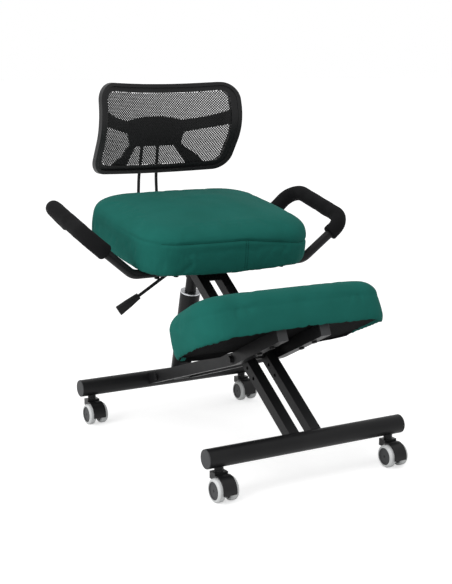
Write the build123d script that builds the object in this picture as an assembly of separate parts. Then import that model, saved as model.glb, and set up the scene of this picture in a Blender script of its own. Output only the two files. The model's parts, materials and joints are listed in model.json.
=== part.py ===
from build123d import *
import os
from math import cos, radians, sin

# Kneeling chair on casters: a crossed pair of steel frames, one carrying the seat,
# the arm loops and the mesh back, the other the knee pad, set in height by a gas spring.
# Millimetres, +Z up, the sitter faces -Y, origin on the floor under the middle of the box.

# Fits between pieces
FIT = 0.05                # radial room of a pin or spigot in its seat
RUN_FIT = 0.05            # radial room of a turning or sliding pair
SOFT_GAP = 0.3            # room round foam and board
WELD_GAP = 0.1            # room at a coped tube end

# Foot tubes
FOOT_TUBE_D = 42.0
FOOT_TUBE_LENGTH = 500.0
FOOT_HEIGHT = 89.0        # axis above the floor
FOOT_BASE = 640.0         # between the two foot axes
TUBE_WALL = 1.5
CAP_FLANGE = 2.0
CAP_SPIGOT = 14.0
CAP_EDGE = 0.8

# Twin-wheel casters
CASTER_INSET = 30.0       # stem axis from the end of a foot tube
CASTER_TRAIL = 20.0
WHEEL_D = 51.0
WHEEL_WIDTH = 18.0
TYRE_THICKNESS = 6.5
TYRE_EDGE = 3.5
HUB_DISH_DEPTH = 1.5
HUB_DISH_RIM = 3.0
WHEEL_SPACING = 14.0      # between the inner faces of a pair
WHEEL_SIDE_GAP = 0.6
AXLE_D = 6.0
AXLE_BOSS_D = 18.0
STEM_D = 11.0
STEM_DEPTH_IN_HOOD = 18.0
STEM_BOSS_D = 20.0
STEM_BOSS_DROP = 4.0      # below the foot tube
STEM_RISE_IN_TUBE = 8.0   # above the foot axis
HOOD_GAP = 2.0
HOOD_WALL = 2.2
HOOD_WIDTH = 32.0
HOOD_FRONT_END = 20.0     # height of the hood's front lip
HOOD_REAR_END = 43.0      # height of the hood's rear lip
HOOD_BLOCK_REACH = 11.0   # rear face behind the stem axis
HOOD_SHOULDER = 59.0
HOOD_TOP = 63.0
HOOD_COLLAR_D = 19.0

# Main beams, from the front foot up to the seat
BEAM_SIZE = 25.0
BEAM_GAP = 32.0
BEAM_ANGLE = 34.9
HOLE_PITCH = 32.0
SPARE_HOLES = 2
SPARE_HOLE_D = 8.5
TIE_LENGTH = 50.0
TIE_THICKNESS = 4.0
BEAM_TIE_FROM_PIVOT = 240.0

# Knee arms, from the rear foot up to the knee pad
ARM_WIDTH = 25.0
ARM_HEIGHT = 28.0
ARM_ANGLE = 18.5
KNEE_ANGLE = 26.0
ARM_RUN = 438.0           # rear foot to bend, measured level
ARM_TIP_RUN = 184.0       # bend to front end, measured level
ARM_BEND_R = 160.0
KNEE_TIE_FROM_TIP = 140.0

# Cross pivot
PIVOT_BOLT_D = 10.0
BOLT_HEAD_D = 17.0
BOLT_HEAD_T = 6.0
WASHER_T = 1.5
WASHER_D = 22.0
SPACER_D = 18.0

# Gas column
LOWER_PIN_FROM_FOOT = 65.7
COLUMN_LEAN = 14.3
PIN_D = 10.0
OPEN_PIVOT_ROOM = 2.2     # play of the lower eye on its pin
LOWER_EYE_D = 30.0
LOWER_EYE_WIDTH = 44.0
EYE_SIDE_GAP = 0.4
COLUMN_D = 50.0
COLUMN_FLANGE_AT = SPACER_D / 2 + OPEN_PIVOT_ROOM + SOFT_GAP  # from the lower pin, clear of its sleeves
COLUMN_FLANGE_T = 5.0
COLUMN_CUP_DEPTH = 12.0
COLUMN_TOP_AT = 231.0
COLUMN_RIM_T = 4.0
GUIDE_LENGTH = 56.0
CYLINDER_D = 28.0
CYLINDER_WALL = 2.5
CYLINDER_FROM = 100.0
CYLINDER_END_T = 10.0
PISTON_ROD_D = 10.0
PISTON_FROM = 190.0
PISTON_T = 12.0
PISTON_GAP = 0.3
HEAD_SOCKET_DEPTH = 24.0
HEAD_D = 44.0
HEAD_SKIRT_D = 33.0
HEAD_CONE_LENGTH = 20.0
HEAD_RIM_T = 8.0
HEAD_SIDE_GAP = 0.3
UPPER_EYE_D = 20.0
HEAD_TOP_TO_PIN = 34.0    # head rim below the upper pin

# Height lever and valve button
LEVER_D = 8.0
LEVER_FLAT = 6.0
LEVER_SLOT_SIDE_GAP = 0.4
LEVER_SLOT_HEIGHT = 16.0
LEVER_DROP = 23.0         # lever axis below the upper pin
LEVER_PIVOT_OUT = 11.0
LEVER_PIN_D = 4.0
LEVER_PIN_LENGTH = 18.0
LEVER_NOSE_REACH = 5.0
LEVER_INNER_RUN = 30.0
LEVER_OUTER_RUN = 133.0
LEVER_OUTER_FALL = 93.0
LEVER_BEND_R = 30.0
KNOB_LENGTH = 62.0
KNOB_NECK = (15.0, 13.0)
KNOB_WAIST = (21.0, 15.0)
KNOB_TIP = (27.0, 12.0)
KNOB_CORNER = 5.0
KNOB_SEAT = 24.0
BUTTON_D = 6.0
BUTTON_IN_CYLINDER = 7.0
BUTTON_NOSE_GAP = 0.3

# Seat
SEAT_TILT = 9.5
PIN_TO_PLATE = 12.5
PLATE_T = 3.0
PLATE_WIDTH = 170.0
PLATE_LENGTH = 170.0
PLATE_SET_FORWARD = 10.0
PLATE_CORNER = 18.0
DUST_COVER_T = 1.0
BOARD_T = 12.0
SEAT_WIDTH = 464.0
SEAT_DEPTH = 386.0
SEAT_THICKNESS = 117.0
SEAT_BOXING = 62.0        # height of the side panel's seam
SEAT_SET_FORWARD = 7.7    # cushion centre ahead of the upper pin
SEAT_BOW = 11.0
SEAT_CORNER = 84.0
BOARD_MARGIN = 26.0

# Knee pad
KNEE_WIDTH = 482.0
KNEE_DEPTH = 222.0
KNEE_THICKNESS = 100.0
KNEE_BOXING = 48.0
KNEE_BEAM_GAP = 1.8       # between the pad's rear edge and the main beams
KNEE_BOW = 9.0
KNEE_CORNER = 64.0

# Cushion section
HEM_DRAW = 12.0
HEM_RISE = 10.0
SEAM_DEPTH = 3.0
SEAM_HALF_WIDTH = 4.0
SHOULDER_IN = 0.36        # share of the half depth where the shoulder turns to the crown
CROWN_IN = 0.75           # share of the half depth at the flat of the crown
SHOULDER_RISE = 0.8       # share of the rise that the shoulder takes
SHOULDER_TURNS = (20, 40, 60, 80)

# Arm loops
LOOP_TUBE_D = 22.0
LOOP_LEG_IN = 95.0
LOOP_BEND_GAP = 1.0       # lower bend outside the seat's side
LOOP_REACH = 114.0        # outer run outside the seat's side
LOOP_FRONT = 120.0        # ahead of the seat centre
LOOP_REAR = 115.0         # behind it
LOOP_FRONT_RISE = 81.0
LOOP_REAR_RISE = 99.0
LOOP_BEND_R = 38.0
LOOP_CORNER_R = 44.0
GRIP_D = 38.0
GRIP_FRONT_SHARE = 0.66  # start of the grip along the front leg
GRIP_REAR_SHARE = 0.5

# Fasteners under the seat and the pad
SCREW_D = 6.0
SCREW_HEAD_D = 12.0
SCREW_HEAD_T = 4.0
SCREW_BITE = 10.0
LOOP_SCREWS_OUT = (120.0, 170.0)
PLATE_SCREW_INSET = 16.0
KNEE_SCREW_BACK = (50.0, 105.0)

# Back rest, measured from the middle of the seat's underside
BACK_DATUM = 193.0        # the seat's rear edge in these measures
BACK_HALF_WIDTH = 191.5
BACK_SIDE_BOW = 5.0
BACK_TOP = 398.0
BACK_BOTTOM = 171.0
BACK_EDGE_SAG = 8.0
BACK_TOP_CORNER = 46.0
BACK_BOTTOM_CORNER = 42.0
BACK_TOP_Y = 137.0
BACK_KNEE = (115.0, 291.0)  # where the side profile turns back
BACK_BOTTOM_Y = 191.0
BACK_PROFILE_R = 130.0
BACK_WRAP = 42.0
RIM_WIDTH = 9.0
RIM_FRONT = 8.0
RIM_BACK = 12.0
LIP_WIDTH = 13.0
LIP_FRONT = 3.0
LIP_BACK = 10.0
MESH_T = 0.8
PANEL_T = 6.0
PANEL_Y = 222.0
PANEL_WING = (190.0, 112.0)
PANEL_BODY_X = 80.0
PANEL_BEND_R = 60.0
BODY_TOP = 308.0          # crown of the lumbar body
BODY_DIP = 298.0
BODY_DIP_X = 76.0
WING_TOP = 334.0
WING_MID = (128.0, 308.0)
WING_BOTTOM = 293.0
BODY_SHOULDER = 267.0
BODY_WAIST = (72.0, 237.0)
LEG_OUT = 156.0
LEG_IN = 97.0
WINDOW_TOP = (56.0, 233.0)
PANEL_CORNER = 9.0

# Back rods
ROD_D = 8.0
ROD_LOW_X = 29.0
ROD_HIGH_X = 21.0
ROD_REAR_Y = 267.0
ROD_STRAIGHT_TO = 150.0
ROD_TOP = (240.0, 283.0)
ROD_BEND_R = 52.0
ROD_UPPER_R = 180.0
SOCKET_D = 15.0
SOCKET_LENGTH = 36.0
SOCKET_WEB = 7.0
BRACKET_T = 3.0
BRACKET_WIDTH = 100.0
BRACKET_INSET = 35.0      # rear end inside the seat's rear edge
BRACKET_LENGTH = 72.0
BRACKET_SCREW_X = 44.0

LEFT, RIGHT = -1, 1
SIDES = {"left": LEFT, "right": RIGHT}
LOW = (Align.CENTER, Align.CENTER, Align.MIN)


# Placing helpers

def rod_x(diameter, x_from, x_to, y, z):
    """A round bar along X."""
    plane = Plane(origin=(x_from, y, z), z_dir=(1, 0, 0))
    return plane * Cylinder(diameter / 2, x_to - x_from, align=LOW)


def plate_x(face, x_from, x_to):
    """A face drawn as (Y, Z), given thickness along X."""
    return extrude(Plane.YZ.offset(x_from) * face, x_to - x_from)


def bar(plane, diameter, start, end):
    """A round bar along a plane's normal."""
    return plane * Pos(0, 0, start) * Cylinder(diameter / 2, end - start, align=LOW)


def pipe(plane, outer, bore, start, end):
    """A round tube along a plane's normal."""
    return bar(plane, outer, start, end) - bar(plane, bore, start, end)


def block(plane, x, y, z):
    """A box between pairs of local bounds."""
    centre = Pos((x[0] + x[1]) / 2, (y[0] + y[1]) / 2, (z[0] + z[1]) / 2)
    return plane * centre * Box(x[1] - x[0], y[1] - y[0], z[1] - z[0])


def swept(path, diameter, bore=0.0):
    """A round bar or tube bent along a path."""
    plane = Plane(origin=path @ 0, z_dir=path % 0)
    section = Circle(diameter / 2)
    if bore:
        section -= Circle(bore / 2)
    return sweep(plane * section, path=path)


def mirrored(solid):
    return mirror(solid, about=Plane.YZ)


# Derived places in the (Y, Z) plane

FOOT_R = FOOT_TUBE_D / 2
CASTER_OUT = FOOT_TUBE_LENGTH / 2 - CASTER_INSET
FRONT_FOOT = Vector(0, -FOOT_BASE / 2, FOOT_HEIGHT)
REAR_FOOT = Vector(0, FOOT_BASE / 2, FOOT_HEIGHT)
BEAM_DIR = Vector(0, cos(radians(BEAM_ANGLE)), sin(radians(BEAM_ANGLE)))
ARM_DIR = Vector(0, -cos(radians(ARM_ANGLE)), sin(radians(ARM_ANGLE)))
TIP_DIR = Vector(0, -cos(radians(KNEE_ANGLE)), sin(radians(KNEE_ANGLE)))
COLUMN_DIR = Vector(0, -sin(radians(COLUMN_LEAN)), cos(radians(COLUMN_LEAN)))


def crossing(point, direction, other_point, other_direction):
    """Where two lines in the (Y, Z) plane meet."""
    gap = other_point - point
    turn = direction.Y * other_direction.Z - direction.Z * other_direction.Y
    along = (gap.Y * other_direction.Z - gap.Z * other_direction.Y) / turn
    return point + direction * along


PIVOT = crossing(FRONT_FOOT, BEAM_DIR, REAR_FOOT, ARM_DIR)
PIVOT_AT = (PIVOT - FRONT_FOOT).length
LOWER_PIN = REAR_FOOT + ARM_DIR * LOWER_PIN_FROM_FOOT
UPPER_PIN = crossing(LOWER_PIN, COLUMN_DIR, FRONT_FOOT, BEAM_DIR)
COLUMN_LENGTH = (UPPER_PIN - LOWER_PIN).length
BEAM_IN = BEAM_GAP / 2
BEAM_OUT = BEAM_IN + BEAM_SIZE
ARM_IN = BEAM_OUT + WASHER_T
ARM_OUT = ARM_IN + ARM_WIDTH
ARM_BEND = REAR_FOOT + ARM_DIR * (ARM_RUN / cos(radians(ARM_ANGLE)))
ARM_TIP = ARM_BEND + TIP_DIR * (ARM_TIP_RUN / cos(radians(KNEE_ANGLE)))

beam_plane = Plane(origin=FRONT_FOOT, x_dir=BEAM_DIR, z_dir=(1, 0, 0))
column_plane = Plane(origin=LOWER_PIN, x_dir=(1, 0, 0), z_dir=COLUMN_DIR)

SEAT_UP = Vector(0, -sin(radians(SEAT_TILT)), cos(radians(SEAT_TILT)))
SEAT_REAR = Vector(0, cos(radians(SEAT_TILT)), sin(radians(SEAT_TILT)))
PLATE_LOW = -DUST_COVER_T - PLATE_T
SEAT_ORIGIN = UPPER_PIN + SEAT_UP * (PIN_TO_PLATE - PLATE_LOW) - SEAT_REAR * SEAT_SET_FORWARD
seat_plane = Plane(origin=SEAT_ORIGIN, x_dir=(1, 0, 0), z_dir=SEAT_UP)

KNEE_UP = Vector(0, sin(radians(KNEE_ANGLE)), cos(radians(KNEE_ANGLE)))
KNEE_LIFT = KNEE_UP * (ARM_HEIGHT / 2 + DUST_COVER_T)
BEAM_UP = Vector(0, -sin(radians(BEAM_ANGLE)), cos(radians(BEAM_ANGLE)))
TIP_OVER_BEAM = (ARM_TIP + KNEE_LIFT - FRONT_FOOT).dot(BEAM_UP) - BEAM_SIZE / 2
KNEE_SET_BACK = (TIP_OVER_BEAM - KNEE_BEAM_GAP) / TIP_DIR.dot(BEAM_UP) - KNEE_DEPTH / 2
KNEE_ORIGIN = ARM_TIP - TIP_DIR * KNEE_SET_BACK + KNEE_LIFT
knee_plane = Plane(origin=KNEE_ORIGIN, x_dir=(1, 0, 0), z_dir=KNEE_UP)


# Casters

def caster_hood():
    """Half-round cover with the web between the wheels and the axle pressed through it."""
    radius = WHEEL_D / 2
    inner = radius + HOOD_GAP
    outer = inner + HOOD_WALL
    axle = Pos(-CASTER_TRAIL, radius)
    reach = CASTER_TRAIL + outer
    front = Pos(-CASTER_TRAIL - reach / 2, (HOOD_FRONT_END + HOOD_TOP) / 2)
    front *= Rectangle(reach, HOOD_TOP - HOOD_FRONT_END)
    rear = Pos(HOOD_BLOCK_REACH / 2 - CASTER_TRAIL / 2, (HOOD_REAR_END + HOOD_TOP) / 2)
    rear *= Rectangle(CASTER_TRAIL + HOOD_BLOCK_REACH, HOOD_TOP - HOOD_REAR_END)
    shoulder = Pos(0, (HOOD_REAR_END + HOOD_SHOULDER) / 2)
    shoulder *= Rectangle(2 * HOOD_BLOCK_REACH, HOOD_SHOULDER - HOOD_REAR_END)
    cover = (axle * Circle(outer)) & (front + rear)
    cover = cover + shoulder - axle * Circle(inner)
    web = ((axle * Circle(inner + FIT)) & (front + rear)) + axle * Circle(AXLE_BOSS_D / 2)
    web_half = WHEEL_SPACING / 2 - WHEEL_SIDE_GAP
    hood = plate_x(cover, -HOOD_WIDTH / 2, HOOD_WIDTH / 2) + plate_x(web, -web_half, web_half)
    collar_low = HOOD_SHOULDER - HOOD_WALL
    hood += Pos(0, 0, collar_low) * Cylinder(HOOD_COLLAR_D / 2, HOOD_TOP - collar_low, align=LOW)
    stem_room = STEM_DEPTH_IN_HOOD + WHEEL_SIDE_GAP
    hood -= Pos(0, 0, HOOD_TOP - stem_room) * Cylinder(STEM_D / 2 + RUN_FIT, stem_room, align=LOW)
    axle_half = WHEEL_SPACING / 2 + WHEEL_WIDTH - HUB_DISH_DEPTH - WHEEL_SIDE_GAP
    return hood + rod_x(AXLE_D, -axle_half, axle_half, -CASTER_TRAIL, radius)


def caster_wheel(side):
    """One wheel of a pair, as its hub and its tyre, turned about the axle."""
    radius = WHEEL_D / 2
    seat = radius - TYRE_THICKNESS
    axle = Plane(origin=(side * WHEEL_SPACING / 2, -CASTER_TRAIL, radius), z_dir=(side, 0, 0))
    hub = bar(axle, 2 * seat, 0, WHEEL_WIDTH)
    hub -= bar(axle, AXLE_D + 2 * RUN_FIT, 0, WHEEL_WIDTH - HUB_DISH_DEPTH)
    hub -= bar(axle, 2 * (seat - HUB_DISH_RIM), WHEEL_WIDTH - HUB_DISH_DEPTH, WHEEL_WIDTH)
    tyre = bar(axle, WHEEL_D, 0, WHEEL_WIDTH)
    tyre = chamfer(tyre.edges().filter_by(GeomType.CIRCLE), TYRE_EDGE)
    return hub, tyre - bar(axle, 2 * (seat + FIT), 0, WHEEL_WIDTH)


def stem_solids(foot):
    """The two steel stems pressed into a foot tube."""
    low = HOOD_TOP - STEM_DEPTH_IN_HOOD
    stem = Pos(0, foot.Y, low) * Cylinder(STEM_D / 2, foot.Z + STEM_RISE_IN_TUBE - low, align=LOW)
    return [Pos(side * CASTER_OUT, 0, 0) * stem for side in (LEFT, RIGHT)]


# Foot tubes

def foot_tube(foot):
    """Round tube with a sleeve for each caster stem."""
    half = FOOT_TUBE_LENGTH / 2
    outer = rod_x(FOOT_TUBE_D, -half, half, foot.Y, foot.Z)
    tube = outer - rod_x(FOOT_TUBE_D - 2 * TUBE_WALL, -half, half, foot.Y, foot.Z)
    low = foot.Z - FOOT_R - STEM_BOSS_DROP
    rise = foot.Z + STEM_RISE_IN_TUBE - low
    for side in (LEFT, RIGHT):
        stem = Pos(side * CASTER_OUT, foot.Y, low)
        tube += stem * Cylinder(STEM_BOSS_D / 2, rise, align=LOW)
        tube -= stem * Cylinder(STEM_D / 2 + FIT, rise, align=LOW)
    return tube


def foot_caps(foot):
    """Moulded end caps of a foot tube."""
    half = FOOT_TUBE_LENGTH / 2
    cap = rod_x(FOOT_TUBE_D, half, half + CAP_FLANGE, foot.Y, foot.Z)
    cap = chamfer(cap.edges().group_by(Axis.X)[-1], CAP_EDGE)
    cap += rod_x(FOOT_TUBE_D - 2 * TUBE_WALL - 2 * FIT, half - CAP_SPIGOT, half, foot.Y, foot.Z)
    return [cap, mirrored(cap)]


def foot_cope(foot):
    """Room for a foot tube in the end of a beam or arm."""
    half = FOOT_TUBE_LENGTH / 2
    return rod_x(FOOT_TUBE_D + 2 * WELD_GAP, -half, half, foot.Y, foot.Z)


# Main beams

def main_beam():
    """Right-hand square tube, coped on the front foot and cut flush under the seat plate."""
    length = (UPPER_PIN - FRONT_FOOT).length + PLATE_LENGTH
    outer = block(beam_plane, (0, length), (-BEAM_SIZE / 2, BEAM_SIZE / 2), (BEAM_IN, BEAM_OUT))
    bore_half = BEAM_SIZE / 2 - TUBE_WALL
    bore_x = (BEAM_IN + TUBE_WALL, BEAM_OUT - TUBE_WALL)
    bore = block(beam_plane, (0, length), (-bore_half, bore_half), bore_x)
    above = block(seat_plane, (0, SEAT_WIDTH), (-SEAT_DEPTH, SEAT_DEPTH), (PLATE_LOW, SEAT_DEPTH))
    beam = outer - bore - above - foot_cope(FRONT_FOOT)
    beam -= rod_x(PIVOT_BOLT_D + 2 * FIT, 0, ARM_OUT, PIVOT.Y, PIVOT.Z)
    beam -= rod_x(PIN_D + 2 * FIT, 0, ARM_OUT, UPPER_PIN.Y, UPPER_PIN.Z)
    for step in range(1, SPARE_HOLES + 1):
        hole = PIVOT - BEAM_DIR * (HOLE_PITCH * step)
        beam -= rod_x(SPARE_HOLE_D, 0, ARM_OUT, hole.Y, hole.Z)
    return beam


def beam_tie():
    """Flat plate welded between the main beams below the seat."""
    start = PIVOT_AT + BEAM_TIE_FROM_PIVOT
    top = BEAM_SIZE / 2
    return block(beam_plane, (start, start + TIE_LENGTH), (top - TIE_THICKNESS, top), (-BEAM_IN, BEAM_IN))


def through_bolt(diameter, half_length, place):
    """A bolt across the chair with a hexagon head at one end and a nut at the other."""
    bolt = rod_x(diameter, -half_length - BOLT_HEAD_T, half_length + BOLT_HEAD_T, place.Y, place.Z)
    for side in (LEFT, RIGHT):
        plane = Plane(origin=(side * half_length, place.Y, place.Z), z_dir=(side, 0, 0))
        bolt += extrude(plane * RegularPolygon(BOLT_HEAD_D / 2, 6), BOLT_HEAD_T)
    return bolt


def ring_x(outer, bore, x_from, x_to, place):
    """A washer or spacer across the chair."""
    ring = rod_x(outer, x_from, x_to, place.Y, place.Z)
    return ring - rod_x(bore, x_from, x_to, place.Y, place.Z)


def front_bolts():
    """Cross pivot bolt with its spacer and washers, and the upper column pin."""
    bore = PIVOT_BOLT_D + 2 * FIT
    solids = [through_bolt(PIVOT_BOLT_D, ARM_OUT + WASHER_T, PIVOT)]
    solids.append(ring_x(SPACER_D, bore, -BEAM_IN, BEAM_IN, PIVOT))
    for inner, outer in ((BEAM_OUT, ARM_IN), (ARM_OUT, ARM_OUT + WASHER_T)):
        washer = ring_x(WASHER_D, bore, inner, outer, PIVOT)
        solids += [washer, mirrored(washer)]
    solids.append(through_bolt(PIN_D, BEAM_OUT, UPPER_PIN))
    return solids


# Knee arms

def knee_arm():
    """Right-hand rectangular tube, bent up towards the knee pad."""
    middle = (ARM_IN + ARM_OUT) / 2
    points = [(middle, point.Y, point.Z) for point in (REAR_FOOT, ARM_BEND, ARM_TIP)]
    path = FilletPolyline(*points, radius=ARM_BEND_R)
    plane = Plane(origin=path @ 0, x_dir=(1, 0, 0), z_dir=path % 0)
    section = Rectangle(ARM_WIDTH, ARM_HEIGHT)
    section -= Rectangle(ARM_WIDTH - 2 * TUBE_WALL, ARM_HEIGHT - 2 * TUBE_WALL)
    arm = sweep(plane * section, path=path) - foot_cope(REAR_FOOT)
    arm -= rod_x(PIVOT_BOLT_D + 2 * RUN_FIT, 0, ARM_OUT, PIVOT.Y, PIVOT.Z)
    arm -= rod_x(PIN_D + 2 * FIT, 0, ARM_OUT, LOWER_PIN.Y, LOWER_PIN.Z)
    for back in KNEE_SCREW_BACK:
        arm -= knee_screw_hole(back)
    return arm


def arm_plug():
    """Square plug in the open front end of a knee arm."""
    middle = (ARM_IN + ARM_OUT) / 2
    plane = Plane(origin=(middle, ARM_TIP.Y, ARM_TIP.Z), x_dir=(1, 0, 0), z_dir=TIP_DIR)
    plug = extrude(plane * Rectangle(ARM_WIDTH, ARM_HEIGHT), CAP_FLANGE)
    plug = chamfer(plug.faces().sort_by(Axis((0, 0, 0), tuple(TIP_DIR)))[-1].edges(), CAP_EDGE)
    room = 2 * (TUBE_WALL + FIT)
    return plug + extrude(plane * Rectangle(ARM_WIDTH - room, ARM_HEIGHT - room), -CAP_SPIGOT)


def knee_tie():
    """Flat plate welded between the knee arms under the pad."""
    middle = ARM_TIP - TIP_DIR * KNEE_TIE_FROM_TIP + KNEE_UP * (ARM_HEIGHT / 2)
    plane = Plane(origin=middle, x_dir=(1, 0, 0), z_dir=KNEE_UP)
    half = TIE_LENGTH / 4
    return block(plane, (-ARM_IN, ARM_IN), (-half, half), (-TIE_THICKNESS, 0))


def knee_screw_hole(back):
    """Clearance hole of a pad screw through an arm and the pad's board."""
    place = ARM_TIP - TIP_DIR * back
    plane = Plane(origin=((ARM_IN + ARM_OUT) / 2, place.Y, place.Z), x_dir=(1, 0, 0), z_dir=KNEE_UP)
    return bar(plane, SCREW_D + 2 * FIT, -ARM_HEIGHT, ARM_HEIGHT / 2 + DUST_COVER_T + SCREW_BITE)


def knee_screw(back):
    """Pad screw, from below an arm up into the board."""
    place = ARM_TIP - TIP_DIR * back
    plane = Plane(origin=((ARM_IN + ARM_OUT) / 2, place.Y, place.Z), x_dir=(1, 0, 0), z_dir=KNEE_UP)
    low = -ARM_HEIGHT / 2
    screw = bar(plane, SCREW_D, low, ARM_HEIGHT / 2 + DUST_COVER_T + SCREW_BITE)
    return screw + bar(plane, SCREW_HEAD_D, low - SCREW_HEAD_T, low)


def rear_bolts():
    """Lower column pin with its sleeves, and the knee pad's screws."""
    solids = [through_bolt(PIN_D, ARM_OUT, LOWER_PIN)]
    sleeve = ring_x(SPACER_D, PIN_D + 2 * FIT, LOWER_EYE_WIDTH / 2 + EYE_SIDE_GAP, ARM_IN, LOWER_PIN)
    solids += [sleeve, mirrored(sleeve)]
    for back in KNEE_SCREW_BACK:
        screw = knee_screw(back)
        solids += [screw, mirrored(screw)]
    return solids


# Gas column

def column_foot():
    """Lower eye with the cup that closes the outer tube."""
    half = LOWER_EYE_WIDTH / 2
    top = COLUMN_FLANGE_AT + COLUMN_FLANGE_T
    foot = rod_x(LOWER_EYE_D, -half, half, LOWER_PIN.Y, LOWER_PIN.Z)
    foot += bar(column_plane, COLUMN_D, COLUMN_FLANGE_AT, top)
    foot += bar(column_plane, COLUMN_D - 2 * TUBE_WALL - 2 * FIT, top, top + COLUMN_CUP_DEPTH)
    foot -= rod_x(PIN_D + 2 * OPEN_PIVOT_ROOM, -half, half, LOWER_PIN.Y, LOWER_PIN.Z)
    return foot


def column_tube():
    start = COLUMN_FLANGE_AT + COLUMN_FLANGE_T
    return pipe(column_plane, COLUMN_D, COLUMN_D - 2 * TUBE_WALL, start, COLUMN_TOP_AT - COLUMN_RIM_T)


def column_guide():
    """Bush at the top of the outer tube, with its bright rim."""
    bore = CYLINDER_D + 2 * RUN_FIT
    rim_low = COLUMN_TOP_AT - COLUMN_RIM_T
    spigot = COLUMN_D - 2 * TUBE_WALL - 2 * FIT
    guide = pipe(column_plane, spigot, bore, rim_low - GUIDE_LENGTH, rim_low)
    return guide + pipe(column_plane, COLUMN_D, bore, rim_low, COLUMN_TOP_AT)


def piston_rod():
    """Rod standing on the column foot, with the piston inside the cylinder."""
    start = COLUMN_FLANGE_AT + COLUMN_FLANGE_T + COLUMN_CUP_DEPTH
    piston_d = CYLINDER_D - 2 * CYLINDER_WALL - 2 * PISTON_GAP
    rod = bar(column_plane, PISTON_ROD_D, start, PISTON_FROM + PISTON_T)
    return rod + bar(column_plane, piston_d, PISTON_FROM, PISTON_FROM + PISTON_T)


HEAD_TOP_AT = COLUMN_LENGTH - HEAD_TOP_TO_PIN
CYLINDER_TO = HEAD_TOP_AT - HEAD_RIM_T


def gas_cylinder():
    """Pressure tube with a gland at the foot and the valve's bore at the top."""
    bore = CYLINDER_D - 2 * CYLINDER_WALL
    cylinder = bar(column_plane, CYLINDER_D, CYLINDER_FROM, CYLINDER_TO)
    cylinder -= bar(column_plane, bore, CYLINDER_FROM + CYLINDER_END_T, CYLINDER_TO - CYLINDER_END_T)
    cylinder -= bar(column_plane, PISTON_ROD_D + 2 * RUN_FIT, CYLINDER_FROM, CYLINDER_FROM + CYLINDER_END_T)
    cylinder -= bar(column_plane, BUTTON_D + 2 * RUN_FIT, CYLINDER_TO - CYLINDER_END_T, CYLINDER_TO)
    return cylinder


LEVER_AT = COLUMN_LENGTH - LEVER_DROP


def column_head():
    """Socket on the cylinder, with a slotted tongue pinned between the main beams."""
    low = CYLINDER_TO - HEAD_SOCKET_DEPTH
    cone_top = low + HEAD_CONE_LENGTH
    skirt, rim = HEAD_SKIRT_D / 2, HEAD_D / 2
    corners = [(0, low), (skirt, low), (rim, cone_top), (rim, HEAD_TOP_AT), (0, HEAD_TOP_AT)]
    outline = Polyline(*corners, close=True)
    head = column_plane * revolve(Plane.XZ * make_face(outline), Axis.Z)
    head -= bar(column_plane, CYLINDER_D + 2 * FIT, low, CYLINDER_TO)
    half = BEAM_IN - HEAD_SIDE_GAP
    tongue = Pos((CYLINDER_TO + COLUMN_LENGTH) / 2, 0) * Rectangle(COLUMN_LENGTH - CYLINDER_TO, UPPER_EYE_D)
    tongue += Pos(COLUMN_LENGTH, 0) * Circle(UPPER_EYE_D / 2)
    side_plane = Plane(origin=(-half, LOWER_PIN.Y, LOWER_PIN.Z), x_dir=COLUMN_DIR, z_dir=(1, 0, 0))
    head += extrude(side_plane * tongue, 2 * half)
    head -= rod_x(PIN_D + 2 * RUN_FIT, -half, half, UPPER_PIN.Y, UPPER_PIN.Z)
    slot_half = LEVER_FLAT / 2 + LEVER_SLOT_SIDE_GAP
    slot = (LEVER_AT - LEVER_SLOT_HEIGHT / 2, LEVER_AT + LEVER_SLOT_HEIGHT / 2)
    head -= block(column_plane, (-HEAD_D, LEVER_NOSE_REACH + LEVER_D), (-slot_half, slot_half), slot)
    head -= bar(column_plane, BUTTON_D + 2 * RUN_FIT, CYLINDER_TO, LEVER_AT)
    return head - lever_pin_bar(FIT)


def lever_pin_bar(room):
    """The lever's pivot pin, or the room for it."""
    plane = Plane(column_plane.from_local_coords((-LEVER_PIVOT_OUT, 0, LEVER_AT)), z_dir=column_plane.y_dir)
    return bar(plane, LEVER_PIN_D + 2 * room, -LEVER_PIN_LENGTH / 2, LEVER_PIN_LENGTH / 2)


def lever_path():
    """Level inner arm, then the bent outer arm down to the knob."""
    inner = -LEVER_INNER_RUN
    outer = inner - LEVER_OUTER_RUN
    points = [(LEVER_NOSE_REACH, LEVER_AT), (inner, LEVER_AT), (outer, LEVER_AT - LEVER_OUTER_FALL)]
    route = [column_plane.from_local_coords((x, 0, s)) for x, s in points]
    return FilletPolyline(*route, radius=LEVER_BEND_R)


def lever_rod():
    """Bent rod, flattened where it lies in the head's slot."""
    rod = swept(lever_path(), LEVER_D)
    flat, thick = LEVER_FLAT / 2, LEVER_D
    for y in ((flat, thick), (-thick, -flat)):
        rod -= block(column_plane, (-BEAM_IN, thick), y, (LEVER_AT - thick, LEVER_AT + thick))
    return rod - lever_pin_bar(RUN_FIT)


def lever_knob():
    """Tapered paddle pushed on the end of the lever."""
    path = lever_path()
    plane = Plane(origin=path @ 1, x_dir=column_plane.y_dir, z_dir=path % 1)
    heights = (-KNOB_SEAT, KNOB_LENGTH / 2 - KNOB_SEAT, KNOB_LENGTH - KNOB_SEAT)
    sections = []
    for height, (width, thickness) in zip(heights, (KNOB_NECK, KNOB_WAIST, KNOB_TIP)):
        sections.append(plane.offset(height) * RectangleRounded(thickness, width, KNOB_CORNER))
    return loft(sections, ruled=True) - bar(plane, LEVER_D + 2 * FIT, -KNOB_SEAT, FIT)


def release_button():
    """Valve pin between the cylinder and the lever's nose."""
    top = LEVER_AT - LEVER_D / 2 - BUTTON_NOSE_GAP
    return bar(column_plane, BUTTON_D, CYLINDER_TO - BUTTON_IN_CYLINDER, top)


# Cushions and their boards

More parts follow.
